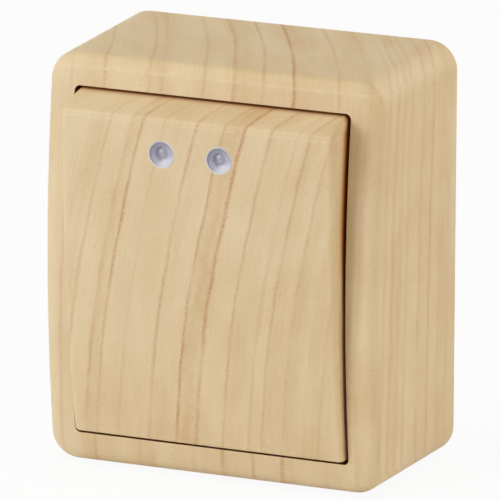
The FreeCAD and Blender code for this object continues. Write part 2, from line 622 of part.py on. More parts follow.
def on_rocker_front(shape):
    """Moves a piece built at the middle of the rocker's front up along its curve to the lenses."""
    angle = math.degrees(math.asin(LENS_UP / ROCKER_ARC))
    return turned(shape, -angle, ROCKER_PIVOT_OUT + ROCKER_ARC_CENTRE)


def make_rocker_cap():
    cap = rounded_rocker().cut(rocker_profile(ROCKER_WALL))
    plate_top = ROCKER_PIVOT_OUT + CRADLE_PLATE_RISE + CRADLE_PLATE
    inner = ROCKER_PIVOT_OUT + ROCKER_ARC_CENTRE
    under_front = rod_x(ROCKER_ARC - ROCKER_WALL / 2, -ROCKER_WIDTH, ROCKER_WIDTH, inner, 0.0)
    seat = CRADLE_LENGTH / 2
    for side in (-1, 1):
        x = side * SEAT_RIB_X
        rib = box(x - SEAT_RIB / 2, x + SEAT_RIB / 2, plate_top, 2 * COVER_DEPTH, -seat, seat)
        cap = cap.fuse(rib.common(under_front))
        z0 = side * (seat + HOOK_FIT)
        z1 = side * (seat + HOOK_FIT + HOOK_THICKNESS)
        barb_top = ROCKER_PIVOT_OUT + CRADLE_PLATE_RISE
        blade = box(-HOOK_WIDTH / 2, HOOK_WIDTH / 2, barb_top - HOOK_TIP, 2 * COVER_DEPTH, *sorted((z0, z1)))
        barb_end = side * (seat + HOOK_FIT - HOOK_BARB)
        barb = box(-HOOK_WIDTH / 2, HOOK_WIDTH / 2, barb_top - HOOK_TIP, barb_top, *sorted((barb_end, z1)))
        cap = cap.fuse(blade.common(under_front)).fuse(barb)
    crest = ROCKER_PIVOT_OUT + ROCKER_RISE + ROCKER_BULGE
    for side in (-1, 1):
        hole = rod_out(LENS_RADIUS + LENS_FIT, crest - 2 * ROCKER_WALL, crest + 1.0, lens_x(side), 0.0)
        cap = cap.cut(on_rocker_front(hole))
    return rocker_turned(cap.removeSplitter())


def make_lens(side):
    """A clear plug: dished face with a small boss, a rim behind the rocker's wall and a light pipe."""
    x = lens_x(side)
    crest = ROCKER_PIVOT_OUT + ROCKER_RISE + ROCKER_BULGE
    inner = crest - ROCKER_WALL
    plug = rod_out(LENS_RADIUS, inner, crest, x, 0.0)
    rim = rod_out(LENS_RADIUS + LENS_FLANGE, inner - LENS_FLANGE_DEPTH, inner - LENS_FIT, x, 0.0)
    pipe = rod_out(LIGHT_PIPE_RADIUS, inner - LENS_FLANGE_DEPTH - LIGHT_PIPE_LENGTH, inner, x, 0.0)
    neck = rod_out(LENS_RADIUS, inner - LENS_FLANGE_DEPTH, inner, x, 0.0)
    bowl_rim = LENS_RADIUS - LENS_DISH_RIM
    bowl = (bowl_rim ** 2 + LENS_DISH ** 2) / (2 * LENS_DISH)
    dish = Part.makeSphere(bowl, FreeCAD.Vector(x, -(crest + bowl - LENS_DISH), 0.0))
    boss = rod_out(LENS_BOSS_RADIUS, crest - 2 * LENS_DISH, crest - LENS_DISH + LENS_BOSS_HEIGHT, x, 0.0)
    lens = plug.fuse(rim).fuse(neck).fuse(pipe).cut(dish).fuse(boss).removeSplitter()
    return rocker_turned(on_rocker_front(lens))


def make_cradle():
    """The yoke inside the rocker: plate, two arms with pivot pins and the plunger's guide."""
    ear_inner = HOUSING_WIDTH / 2 - EAR_THICKNESS
    arm_out = ear_inner - ARM_GAP
    low = ROCKER_PIVOT_OUT + CRADLE_PLATE_RISE
    plate = box(-arm_out, arm_out, low, low + CRADLE_PLATE, -ARM_WIDTH / 2, ARM_WIDTH / 2)
    middle = SEAT_RIB_X + SEAT_RIB
    plate = plate.fuse(box(-middle, middle, low, low + CRADLE_PLATE, -CRADLE_LENGTH / 2, CRADLE_LENGTH / 2))
    for side in (-1, 1):
        x0, x1 = sorted((side * arm_out, side * (arm_out - ARM_THICKNESS)))
        arm = box(x0, x1, ROCKER_PIVOT_OUT, low, -ARM_WIDTH / 2, ARM_WIDTH / 2)
        arm = arm.fuse(rod_x(ARM_WIDTH / 2, x0, x1, ROCKER_PIVOT_OUT, 0.0))
        p0, p1 = sorted((side * (arm_out - ARM_THICKNESS), side * (ear_inner + EAR_THICKNESS)))
        plate = plate.fuse(arm).fuse(rod_x(PIN_RADIUS, p0, p1, ROCKER_PIVOT_OUT, 0.0))
    tube = rod_out(TUBE_RADIUS, ROCKER_PIVOT_OUT - TUBE_DEPTH, low, 0.0, 0.0)
    bore = rod_out(PLUNGER_RADIUS + PLUNGER_FIT, ROCKER_PIVOT_OUT - TUBE_DEPTH, bore_end(), 0.0, 0.0)
    return rocker_turned(plate.fuse(tube).cut(bore).removeSplitter())


def bore_end():
    """The closed end of the plunger's guide, as a distance from the wall."""
    return ROCKER_PIVOT_OUT + CRADLE_PLATE_RISE + CRADLE_PLATE / 2


def make_plunger():
    top = ROCKER_PIVOT_OUT - PLUNGER_STEM_TOP
    tip = ROCKER_PIVOT_OUT - PLUNGER_REACH
    shoulder = tip + PLUNGER_NOSE
    stem = rod_out(PLUNGER_RADIUS, shoulder, top, 0.0, 0.0)
    nose = rod_out(PLUNGER_NOSE_RADIUS, tip + PLUNGER_NOSE_RADIUS, shoulder, 0.0, 0.0)
    ball = Part.makeSphere(PLUNGER_NOSE_RADIUS, FreeCAD.Vector(0, -tip - PLUNGER_NOSE_RADIUS, 0))
    return rocker_turned(stem.fuse(nose).fuse(ball).removeSplitter())


def make_plunger_spring():
    """A coil spring on the plunger's flat end, drawn pressed so that the plunger can still move."""
    foot = ROCKER_PIVOT_OUT - PLUNGER_STEM_TOP + SPRING_WIRE / 2
    room = bore_end() - SPRING_WIRE / 2 - foot - PLUNGER_TRAVEL - SPRING_CLEARANCE
    helix = Part.makeHelix(room / SPRING_COILS, room, SPRING_RADIUS)
    section = Part.Wire(Part.makeCircle(SPRING_WIRE / 2, FreeCAD.Vector(SPRING_RADIUS, 0, 0),
                                        FreeCAD.Vector(0, 1, 0)))
    coil = Part.Wire(helix.Edges).makePipeShell([section], True, True)
    coil.rotate(FreeCAD.Vector(0, 0, 0), FreeCAD.Vector(1, 0, 0), 90)
    coil.translate(FreeCAD.Vector(0, -foot, 0))
    return rocker_turned(coil)


def make_all():
    """Every piece by its node's name."""
    pieces = {
        "base": make_base(),
        "cover": make_cover(),
        "mechanism_housing": make_housing(),
        "fulcrum_strip": make_fulcrum_strip(),
        "load_strip": make_load_strip(),
        "fixed_contact": make_fixed_contact(),
        "contact_lever": make_contact_lever(),
        "moving_contact": make_moving_contact(),
        "indicator_board": make_board(),
        "dropper_resistor": make_resistor(),
        "rocker_cap": make_rocker_cap(),
        "rocker_cradle": make_cradle(),
        "plunger": make_plunger(),
        "plunger_spring": make_plunger_spring(),
    }
    for side, hand in ((-1, "left"), (1, "right")):
        pieces["cover_screw_" + hand] = make_cover_screw(side)
        pieces["mechanism_screw_" + hand] = make_mechanism_screw(side)
        pieces["led_" + hand] = make_led(side)
        pieces["lens_" + hand] = make_lens(side)
    for side, circuit in ((-1, "line"), (1, "load")):
        pieces[circuit + "_terminal"] = make_terminal(side)
        pieces[circuit + "_terminal_screw"] = make_terminal_screw(side)
        pieces[circuit + "_indicator_lead"] = make_lead(side)
    return pieces


for name, shape in make_all().items():
    shape.exportStep("parts/" + name + ".step")
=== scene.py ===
"""Looks of the surface mounted light switch: wood film, lenses, moulded plastic, metal and the stage.

Frame, in metres: the wall is the plane y = 0, the switch stands in front of it towards -Y, X runs to the
right as one faces it and Z is up. "Out" below is the distance from the wall: a point lies at y = -out.
"""
import json
import math

import bpy
import numpy as np
from mathutils import Matrix, Vector

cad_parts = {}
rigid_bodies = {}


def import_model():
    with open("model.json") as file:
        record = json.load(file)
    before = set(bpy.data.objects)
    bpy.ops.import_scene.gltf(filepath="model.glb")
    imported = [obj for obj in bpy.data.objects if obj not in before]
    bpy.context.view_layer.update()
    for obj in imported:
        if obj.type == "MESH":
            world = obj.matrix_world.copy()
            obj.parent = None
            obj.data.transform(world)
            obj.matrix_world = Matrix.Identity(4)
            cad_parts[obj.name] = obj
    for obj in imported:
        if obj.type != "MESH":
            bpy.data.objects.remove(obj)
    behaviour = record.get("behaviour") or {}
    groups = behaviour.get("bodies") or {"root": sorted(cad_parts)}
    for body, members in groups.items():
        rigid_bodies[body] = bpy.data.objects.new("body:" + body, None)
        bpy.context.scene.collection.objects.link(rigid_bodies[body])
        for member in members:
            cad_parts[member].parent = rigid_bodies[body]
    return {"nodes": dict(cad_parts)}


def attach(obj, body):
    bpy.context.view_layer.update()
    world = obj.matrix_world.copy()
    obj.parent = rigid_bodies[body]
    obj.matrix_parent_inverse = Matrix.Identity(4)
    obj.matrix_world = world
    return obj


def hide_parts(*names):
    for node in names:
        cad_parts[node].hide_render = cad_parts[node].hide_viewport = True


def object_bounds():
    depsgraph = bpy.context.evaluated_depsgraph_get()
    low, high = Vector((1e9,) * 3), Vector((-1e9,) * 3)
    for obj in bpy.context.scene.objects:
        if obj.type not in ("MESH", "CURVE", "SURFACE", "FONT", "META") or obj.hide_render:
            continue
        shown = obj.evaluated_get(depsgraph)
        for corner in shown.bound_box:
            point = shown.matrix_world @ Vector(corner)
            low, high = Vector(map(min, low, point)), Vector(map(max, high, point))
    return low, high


# the objects of the empty start-up scene go
for start_up in list(bpy.data.objects):
    bpy.data.objects.remove(start_up)
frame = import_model()
CAD_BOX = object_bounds()

bl_info = {
    "name": "Surface light switch looks",
    "version": (1, 0, 0),
    "blender": (4, 5, 0),
    "location": "3D View > Sidebar > Switch",
    "description": "Dresses the surface mounted light switch and sets its stage",
    "category": "Object",
}

MM = 0.001

# The rocker's place and form, as in the solids, in millimetres. Its front is an arc from end to end, REACH
# above and below the pivot, which is RISE out from the pivot at the ends and BULGE more in the middle.
PIVOT_OUT = 27.5
ROCKER_TILT = math.radians(5.0)
ROCKER_REACH = 29.5
ROCKER_RISE = 10.3
ROCKER_BULGE = 1.5
ROCKER_HALF_WIDTH = 25.3
ROCKER_ARC = (ROCKER_REACH ** 2 + ROCKER_BULGE ** 2) / (2 * ROCKER_BULGE)
ARC_CENTRE = ROCKER_RISE + ROCKER_BULGE - ROCKER_ARC
ROCKER_CREASE = ROCKER_REACH - 0.9
LENS_UP = 23.3
LENS_OFFSET = -1.1
LENS_SPACING = 10.75

# The cover, in millimetres: its front is an arc round a point at FRONT_CENTRE out, and its sides end at
# SIDES_OUT. Pairs say where a rounding or the opening's wall begins and ends, from the cover's middle.
FRONT_RADIUS = 245.86
FRONT_CENTRE = -210.36
SIDES_OUT = 33.0
END_ROUNDING = (31.5, 34.5)
SIDE_ROUNDING = (29.6, 31.2)
OPENING_END = (32.0, 33.0)
OPENING_SIDE = (27.5, 28.5)
COVER_CREASE = 34.45

# How far behind the cover's front, in millimetres, the rocker's film fades into the brown moulding colour,
# as it stands at rest and as it would stand when switched on. It does so sooner on the sides than on the
# ends. The fade starts in front of the cover's front: it stands for the film's end and paints the shade in
# the gaps round the rocker.
GAP_SHADE_FADE = (-2.5, 0.4)
GAP_SHADE_FADE_ON = (-0.5, 1.5)
SOONER_ON_SIDES = 0.4
LATER_ON_ENDS = 0.55

# the pale marks, in millimetres: a paler ring round a lens, from its middle, and a painted highlight
# beside a crease
LENS_HOLE_EDGE = (2.48, 2.66)
CREASE_FADE = (0.05, 0.4)

# the unrolled films: how far the lines' ramps reach from the middle, in mm, and the plane of the noise
ROCKER_FILM_HALF, ROCKER_SEED = 40.0, 2.0
COVER_FILM_HALF, COVER_SEED = 72.0, 61.0
LINES_PER_RAMP = 9

# the rocker's grain lines: place across the film in mm, strength at the lower and upper end, width in mm
ROCKER_LINES = (
    (-26.2, 0.2, 0.1, 0.7), (-22.7, 0.85, 0.48, 0.6), (-18.6, 0.69, 0.41, 0.65),
    (-16.6, 0.43, 0.94, 0.65), (-12.5, 0.24, 0.21, 0.6), (-6.7, 0.74, 0.83, 0.6),
    (-1.6, 1.0, 0.68, 0.6), (2.1, 0.85, 1.0, 0.75), (7.1, 0.56, 0.63, 0.6),
    (9.9, 0.08, 0.08, 0.5), (12.0, 0.44, 0.34, 0.6), (14.4, 0.31, 0.67, 0.6),
    (18.3, 0.27, 0.39, 0.7), (22.4, 0.12, 0.12, 0.7), (25.0, 0.27, 0.08, 0.8),
)
# where along the rocker, in mm from its middle, the lower strength goes over into the upper one
LINES_CHANGE = (-24.0, 20.0)
# bands, and the cover's lines: place across the film in mm, strength, width in mm
ROCKER_BANDS = (
    (-24.4, 0.35, 3.0), (-17.9, 0.45, 3.2), (-5.2, 0.3, 3.0), (0.4, 0.7, 3.8), (8.6, 0.35, 4.0),
    (15.4, 0.3, 3.0), (19.4, 0.3, 3.0), (23.8, 0.45, 5.0),
)
COVER_LINES = (
    (-56.5, 0.3, 1.0), (-51.0, 0.45, 1.0), (-44.6, 0.4, 1.2), (-38.2, 0.35, 1.0), (-34.1, 0.25, 0.9),
    (-26.5, 0.3, 0.7), (-20.5, 0.75, 0.7), (-12.1, 0.6, 0.7), (-9.4, 0.6, 0.6), (-1.6, 0.4, 0.7),
    (4.0, 0.8, 0.8), (9.6, 0.6, 0.7), (15.2, 0.9, 0.8), (23.4, 0.55, 0.7), (29.4, 0.4, 0.7),
    (33.1, 0.3, 0.5), (34.9, 0.35, 0.5), (36.6, 0.2, 0.5), (38.1, 0.4, 0.5), (41.5, 0.35, 0.6),
    (44.4, 0.45, 0.6), (47.4, 0.3, 0.6), (50.2, 0.35, 0.6),
)
COVER_BANDS = (
    (-48.0, 0.35, 6.0), (-36.0, 0.3, 5.0), (-22.0, 0.25, 5.0), (-10.0, 0.3, 5.0), (6.0, 0.3, 6.0),
    (16.8, 0.35, 5.0), (27.5, 0.2, 5.0), (36.0, 0.3, 3.0), (42.4, 0.35, 4.0), (48.6, 0.3, 3.0),
)

# the stage, in metres, and the point that the camera looks at, across and up in its own view, in mm
FLOOR_HALF = 3.0
LAMP_TARGET = (0.0, -0.02, 0.0)
VIEW_ACROSS, VIEW_UP = -6.80, -3.49
SENSOR_WIDTH = 36.0  # mm
WHITE = (1.0, 1.0, 1.0)


def display(red, green, blue):
    """A colour as seen on a screen, 0 to 255, turned into the linear values that shaders use."""
    levels = [part / 255 for part in (red, green, blue)]
    return tuple(p / 12.92 if p <= 0.04045 else ((p + 0.055) / 1.055) ** 2.4 for p in levels)


def colour_setting(name, description, shade):
    return bpy.props.FloatVectorProperty(name=name, description=description, subtype="COLOR", size=3,
                                         min=0.0, max=1.0, default=shade)


def length_setting(name, description, millimetres):
    return bpy.props.FloatProperty(name=name, description=description, subtype="DISTANCE", unit="LENGTH",
                                   min=0.0, default=millimetres * MM)


def watts_setting(name, lamp, watts):
    return bpy.props.FloatProperty(name=name, description="Power of " + lamp + ", in watts", min=0.0,
                                   default=watts)


def angle_setting(name, description, degrees):
    return bpy.props.FloatProperty(name=name, description=description, subtype="ANGLE",
                                   default=math.radians(degrees))


class SwitchFilm(bpy.types.PropertyGroup):
    """Colours of the printed wood film."""
    pale: colour_setting("Pale wood", "Ground of the film", display(222, 200, 161))
    warm: colour_setting("Warm wood", "Broad darker streaks of the film", display(205, 174, 128))
    line: colour_setting("Grain line", "Thin growth lines of the film", display(174, 106, 60))
    fleck: colour_setting("Fleck", "Small pores between the lines", display(178, 136, 92))
    # painted shade: the core colour darkens the wood in and beside the gaps; it also stands for the film's
    # end
    core: colour_setting("Core", "Moulding under the film, seen in the gaps", display(158, 86, 16))
    # painted highlight: this colour is laid along the creases; it also makes a paler ring round each lens
    # hole
    pale_edge_and_highlight: colour_setting("Worn edge", "Film rubbed pale along the edges", display(236, 219, 186))
    roughness: bpy.props.FloatProperty(name="Roughness", description="Satin finish of the film",
                                       min=0.0, max=1.0, default=0.5)


class SwitchLens(bpy.types.PropertyGroup):
    """Sizes and colours of the two lenses."""
    radius: length_setting("Radius", "Outer radius of a lens", 2.4)
    rim: length_setting("Rim", "Flat ring round the dish", 0.26)
    dish: length_setting("Dish", "Depth of the dish", 0.75)
    boss_radius: length_setting("Boss radius", "Small knob in the middle", 0.95)
    boss_height: length_setting("Boss height", "Height of the knob above the dish", 0.3)
    stand: length_setting("Stand", "How far the rim stands out of the rocker", 0.06)
    tint: colour_setting("Tint", "Cool tint of the clear plastic", display(175, 172, 183))
    # painted shade on the dish's upper left and the knob's left side; the middle takes it too, over the
    # pipe
    shade_and_pipe_tint: colour_setting("Deep tint", "Tint where the light pipe runs in", display(116, 114, 131))
    pale: colour_setting("Pale tint", "Side of the dish that catches the light", display(218, 214, 220))
    seam: colour_setting("Seam", "Dark ring between the rim and the dish", display(84, 82, 98))


class SwitchPlastics(bpy.types.PropertyGroup):
    """Colours of the moulded pieces behind the cover."""
    white: colour_setting("White moulding", "Base, cradle and plunger", display(232, 230, 222))
    grey: colour_setting("Grey moulding", "Mechanism housing", display(176, 179, 182))
    board: colour_setting("Board", "Lacquer of the indicator board", display(40, 104, 66))
    resistor: colour_setting("Resistor", "Body of the resistor", display(206, 178, 138))
    lamp: colour_setting("Lamp", "Indicator lamps", display(226, 228, 232))


class SwitchMetals(bpy.types.PropertyGroup):
    """Colours of the metal pieces."""
    brass: colour_setting("Brass", "Strips, lever and terminals", display(206, 172, 96))
    silver: colour_setting("Contact silver", "Contact rivets", display(226, 225, 220))
    zinc: colour_setting("Zinc", "Screws, spring and leads", display(198, 201, 205))


class SwitchStage(bpy.types.PropertyGroup):
    """Light and view."""
    sky: bpy.props.FloatProperty(name="Sky", description="Strength of the even white light", min=0.0,
                                 default=0.12)
    key: watts_setting("Key", "the front left lamp", 5.1)
    fill: watts_setting("Fill", "the right lamp", 5.35)
    top: watts_setting("Top", "the lamp above", 4.8)
    rear: watts_setting("Rear", "the lamp behind", 4.0)
    cool_light: colour_setting("Cool light", "Colour of the front left lamp", (0.89, 0.93, 1.0))
    warm_light: colour_setting("Warm light", "Colour of the right and upper lamps", (1.0, 0.955, 0.86))
    distance: length_setting("Distance", "From the camera to the object", 1512.24)
    focal: bpy.props.FloatProperty(name="Focal length", description="Of the camera, in millimetres",
                                   min=1.0, default=619.4)
    yaw: angle_setting("Yaw", "How far the camera stands to the right", 23.54)
    pitch: angle_setting("Pitch", "How far the camera looks down", 14.76)
    roll: angle_setting("Roll", "Turn of the camera about its view", 0.231)


class Value:
    """A number, vector or colour that varies over a surface. Arithmetic on it adds Math nodes."""

    def __init__(self, maker, socket):
        self.maker = maker
        self.socket = socket

    def math(self, operation, *others):
        values = dict(enumerate((self, *others)))
        return self.maker.node("ShaderNodeMath", {"operation": operation}, values)

    def __add__(self, other):
        return self.math("ADD", other)

    def __sub__(self, other):
        return self.math("SUBTRACT", other)

    def __rsub__(self, other):
        return self * -1.0 + other

    def __mul__(self, other):
        return self.math("MULTIPLY", other)

    def __truediv__(self, other):
        return self.math("DIVIDE", other)

    def __neg__(self):
        return self * -1.0

    def __abs__(self):
        return self.math("ABSOLUTE")

    def __pow__(self, other):
        return self.math("POWER", other)

    def most(self, other):
        return self.math("MAXIMUM", other)

    def least(self, other):
        return self.math("MINIMUM", other)

    def held(self):
        """Kept between 0 and 1."""
        return self.most(0.0).least(1.0)

    def sign(self):
        return self.math("SIGN")

    def step(self, low, high):
        """0 below low, 1 above high and a smooth rise between."""
        return self.maker.node("ShaderNodeMapRange", {"interpolation_type": "SMOOTHSTEP"},
                               {"Value": self, "From Min": low, "From Max": high})


class Nodes:
    """A node tree, emptied, and the nodes made in it."""

    def __init__(self, tree):
        self.tree = tree
        tree.nodes.clear()

    def feed(self, socket, value):
        """Links a Value, or sets a constant."""
        if isinstance(value, Value):
            self.tree.links.new(value.socket, socket)
        elif isinstance(value, (tuple, list)) and socket.type == "RGBA":
            socket.default_value = (*value[:3], 1.0)
        else:
            socket.default_value = value

    def node(self, kind, settings=None, inputs=None, output=0):
        """Adds a node: its settings first, such as an operation or a ramp's stops, then its sockets."""
        made = self.tree.nodes.new(kind)
        for name, setting in (settings or {}).items():
            if name == "stops":
                self.set_stops(made.color_ramp, setting)
            else:
                setattr(made, name, setting)
        for key, value in (inputs or {}).items():
            self.feed(self.socket(made, key), value)
        return Value(self, made.outputs[output])

    def socket(self, made, key):
        """A node's input by number, or by name among those in use."""
        if isinstance(key, int):
            return made.inputs[key]
        return next(s for s in made.inputs if s.name == key and s.enabled)

    def set_stops(self, ramp, stops):
        ramp.interpolation = "LINEAR"
        ramp.elements.remove(ramp.elements[1])
        for number, (place, grey) in enumerate(stops):
            element = ramp.elements[0] if number == 0 else ramp.elements.new(place)
            element.position = place
            element.color = (grey, grey, grey, 1.0)

    def axes(self):
        """The object's own x, out and z, in millimetres."""
        place = self.node("ShaderNodeTexCoord", output="Object")
        split = self.node("ShaderNodeSeparateXYZ", None, {"Vector": place})
        outputs = split.socket.node.outputs
        x, y, z = (Value(self, outputs[axis]) / MM for axis in "XYZ")
        return x, -y, z

    def vector(self, x, y, z):
        return self.node("ShaderNodeCombineXYZ", None, {0: x, 1: y, 2: z})

    def noise(self, x, y, z=0.0, detail=2.0, roughness=0.5):
        """Soft noise round 0, from about -0.5 to 0.5."""
        raw = self.node("ShaderNodeTexNoise", None, {"Vector": self.vector(x, y, z), "Scale": 1.0,
                                                     "Detail": detail, "Roughness": roughness})
        return raw - 0.5

    def blend(self, factor, first, second):
        """Mixes two colours."""
        mixed = self.tree.nodes.new("ShaderNodeMix")
        mixed.data_type = "RGBA"
        for name, value in (("Factor", factor), ("A", first), ("B", second)):
            self.feed(self.socket(mixed, name), value)
        return Value(self, next(s for s in mixed.outputs if s.enabled))

    def show(self, factor, first, second, output):
        """Mixes two shaders, given by their sockets, into the tree's output."""
        mixed = self.node("ShaderNodeMixShader", None, {0: factor}).socket
        for number, shader in ((1, first), (2, second)):
            self.tree.links.new(shader, mixed.node.inputs[number])
        self.tree.links.new(mixed, output.inputs["Surface"])


class Finish(Nodes):
    """One procedural material: a principled shader with constants, and the nodes that feed it."""

    def __init__(self, name, **constants):
        self.material = bpy.data.materials.new(name)
        self.material.use_nodes = True
        super().__init__(self.material.node_tree)
        self.shader = self.tree.nodes.new("ShaderNodeBsdfPrincipled")
        self.out = self.tree.nodes.new("ShaderNodeOutputMaterial")
        self.tree.links.new(self.shader.outputs[0], self.out.inputs["Surface"])
        for socket, constant in constants.items():
            self.set(socket.replace("_", " "), constant)

    def bump(self, height, distance, strength):
        """Height in parts of the distance, which is in metres."""
        self.set("Normal", self.node("ShaderNodeBump", None, {"Height": height, "Distance": distance,
                                                              "Strength": strength}))

    def set(self, socket, value):
        self.feed(self.shader.inputs[socket], value)


def line_field(finish, across, lines, half, near=0.35, spread=1.25):
    """Peaks at the lines' places, from ramps of a few lines each, over the film from -half to half. A peak
    is spread times its width, of which near is the share on its near flank."""
    place = across / (2 * half) + 0.5
    field = None
    for first in range(0, len(lines), LINES_PER_RAMP):
        stops = [(0.0, 0.0)]
        for middle, strength, width in sorted(lines[first:first + LINES_PER_RAMP]):
            for shift, level in ((-near, 0.0), (0.0, strength), (1.0 - near, 0.0)):
                spot = (middle + shift * width * spread) / (2 * half) + 0.5
                stops.append((max(spot, stops[-1][0] + 1e-4), level))
        ramp = finish.node("ShaderNodeValToRGB", {"stops": stops}, {"Fac": place})
        field = ramp if field is None else field.most(ramp)
    return field


def dress_film(finish, colours, across, along, grain_lines, bands, half, seed, bare_and_gap_shade, edge, ground):
    """Printed wood film: thin wavering growth lines, broad warm streaks, fine streaks and small pores.
    across and along are millimetres over and with the grain, and grain_lines gives the strength of the
    growth lines at a place across. Where the bare mask is 1 the moulding colour is laid on: it stands for
    the film's end and paints the shade in the gaps. Where the edge mask is 1 the film is made pale in
    patches: a painted highlight along the creases and a paler ring round the lens holes. ground is how
    warm the wood is between its bands; the callers lower it towards the left, which paints the light
    falling from the left. Each noise lies in a plane of its own, at the seed plus an offset."""
    wander = (finish.noise(across * 0.03, along * 0.04, seed) * 1.2
              + finish.noise(across * 0.15, along * 0.2, seed + 3) * 0.5
              + finish.noise(across * 1.2, along * 2.8, seed + 5) * 0.5)
    place = across + wander
    fading = (finish.noise(across * 0.3, along * 0.10, seed + 67.4) * 3.2 + 0.72).held()
    grain = grain_lines(place) * (fading * 0.75 + 0.25)
    soft_edge = finish.noise(across * 0.6, along * 0.5, seed + 15) * 3.0
    streak = line_field(finish, place + soft_edge, bands, half, 0.5, 1.3) * (fading * 0.5 + 0.5)
    mottle = finish.noise(across * 0.16, along * 0.07, seed + 66.6, 2.0)
    fine = finish.noise(place * 2.2, along * 0.12, seed + 27, 3.0)
    speckle = finish.noise(place * 3.2, along * 2.4, seed + 31, 2.0)
    pores = finish.noise(place * 5.0, along * 0.8, seed + 33, 1.0).step(0.12, 0.28)
    broken = (finish.noise(place * 3.0, along * 3.0, seed + 41, 2.0) * 3.0 + 0.82).held()
    # patches of the painted highlight along the creases and of the paler ring round the lens holes
    pale_patches = (finish.noise(along * 0.3, across * 0.6, seed + 51, 3.0) * 2.4 + 0.5).held()
    warmth = (streak * 0.8 + mottle * 1.2 + fine * 0.45 + speckle * 0.55 + ground).held()
    shade = tuple(colours.pale)
    # the last two blends paint a highlight along the creases and the shade in the gaps
    for factor, colour in (
            (warmth, colours.warm),
            ((pores * (warmth * 0.3 + 0.16)).held(), colours.fleck),
            ((grain * broken * 0.86).held(), colours.line),
            (edge * pale_patches, colours.pale_edge_and_highlight),
            (bare_and_gap_shade, colours.core)):
        shade = finish.blend(factor, shade, tuple(colour))
    finish.set("Base Color", shade)
    finish.set("Roughness", fine * 0.10 + grain * 0.06 + colours.roughness)
    finish.bump(fine * 0.4 - grain * 0.5 - pores * 0.5, 0.03 * MM, 0.5)


def behind_front(out, z):
    """How far a point lies behind the cover's curved front, in millimetres."""
    return (FRONT_RADIUS ** 2 - z * z) ** 0.5 + FRONT_CENTRE - out


def rocker_lines(end):
    """The rocker's grain lines with their strength at one end: 0 is the lower one and 1 the upper."""
    return [(place, strengths[end], width) for place, *strengths, width in ROCKER_LINES]


def rocker_film(colours):
    """The film on the rocker: unrolled from its front over its ends and sides. Level places are the
    rocker's own, turned back by its tilt."""
    finish = Finish("rocker_wood_film", IOR=1.47, Specular_IOR_Level=0.22)
    x, out, z = finish.axes()
    cos, sin = math.cos(ROCKER_TILT), math.sin(ROCKER_TILT)
    lean = out - PIVOT_OUT
    level_out = lean * cos - z * sin
    level_z = z * cos + lean * sin
    behind = (ROCKER_RISE - 0.3 - level_out).most(0.0)
    at_end = abs(level_z).step(ROCKER_CREASE, ROCKER_REACH - 0.2)
    at_side = abs(x).step(ROCKER_HALF_WIDTH - 0.7, ROCKER_HALF_WIDTH - 0.1)
    along = level_z + level_z.sign() * behind * at_end
    across = x + x.sign() * behind * at_side
    slanted = across - along * 0.19 - along * along * 0.0016
    # painted shade: the wood fades into the moulding colour from in front of the cover's front into the
    # gaps
    sunk = (behind_front(out, z) + at_side * SOONER_ON_SIDES - at_end * LATER_ON_ENDS).step(*GAP_SHADE_FADE)
    out_when_on = level_out * cos - level_z * sin + PIVOT_OUT
    z_when_on = level_z * cos + level_out * sin
    sunk_when_on = behind_front(out_when_on, z_when_on).step(*GAP_SHADE_FADE_ON)
    bare_and_gap_shade = sunk * sunk * (sunk_when_on * 0.6 + 0.4)
    # painted highlight along the rocker's upper crease, with a paler ring round each lens hole
    crease = (1.0 - abs(level_z - ROCKER_CREASE).step(*CREASE_FADE)) * 0.25
    beside = abs(x - LENS_OFFSET) - LENS_SPACING / 2
    ring = 1.0 - ((beside * beside + (level_z - LENS_UP) ** 2.0) ** 0.5).step(*LENS_HOLE_EDGE)
    higher = along.step(*LINES_CHANGE)

    def grain_lines(place):
        low, high = (line_field(finish, place, rocker_lines(end), ROCKER_FILM_HALF) for end in (0, 1))
        return low * (1.0 - higher) + high * higher

    # the ground is made paler towards the rocker's left, which paints the light from the left
    dress_film(finish, colours, slanted, along, grain_lines, ROCKER_BANDS, ROCKER_FILM_HALF, ROCKER_SEED,
               bare_and_gap_shade, crease.most(ring * 0.7), 0.25 - (-x).step(15.0, 25.0) * 0.14)
    return finish.material


def cover_film(colours):
    """The film on the cover: unrolled from its front over its four sides. On the top, the bottom and the
    right it slants outward with the way back."""
    finish = Finish("cover_wood_film", IOR=1.47, Specular_IOR_Level=0.22)
    x, out, z = finish.axes()
    behind = (SIDES_OUT - out).most(0.0)
    at_end, above, below = (side.step(*END_ROUNDING) for side in (abs(z), z, -z))
    at_right, at_left = x.step(*SIDE_ROUNDING), (-x).step(*SIDE_ROUNDING)
    over = (behind * 0.0045 + x * 0.003 + 0.36) * at_end.most(at_right) * (1.0 - at_left) - at_left
    straight = below * (1.0 - at_right) * 3.0
    across = x + (behind - straight).most(0.0) * over
    along = z + z.sign() * behind * at_end * (1.0 - x.step(16.0, 31.4)) * 0.8
    leaning = across - (z - 34.0) * 0.03 * (1.0 - above)
    # painted shade: the opening's walls take the moulding colour, for the film's end and the shade in the
    # gap
    within = (1.0 - abs(x).step(*OPENING_SIDE)) * (1.0 - abs(z).step(*OPENING_END))
    bare_and_gap_shade = within * behind_front(out, z).step(0.02, 0.4)
    # painted highlight along the crease between the cover's top and front
    crease = (1.0 - abs(z - COVER_CREASE).step(*CREASE_FADE)) * (1.0 - behind.step(2.0, 2.5)) * 0.35

    def grain_lines(place):
        return line_field(finish, place, COVER_LINES, COVER_FILM_HALF)

    # the ground is made paler towards the cover's left, which paints the light from the left
    dress_film(finish, colours, leaning, along, grain_lines, COVER_BANDS, COVER_FILM_HALF, COVER_SEED,
               bare_and_gap_shade, crease, 0.25 - (-x).step(22.0, 30.0) * 0.22)
    return finish.material


def dimmed(colour, shares):
    """A colour with each of its parts multiplied by a share."""
    return tuple(part * share for part, share in zip(colour, shares))


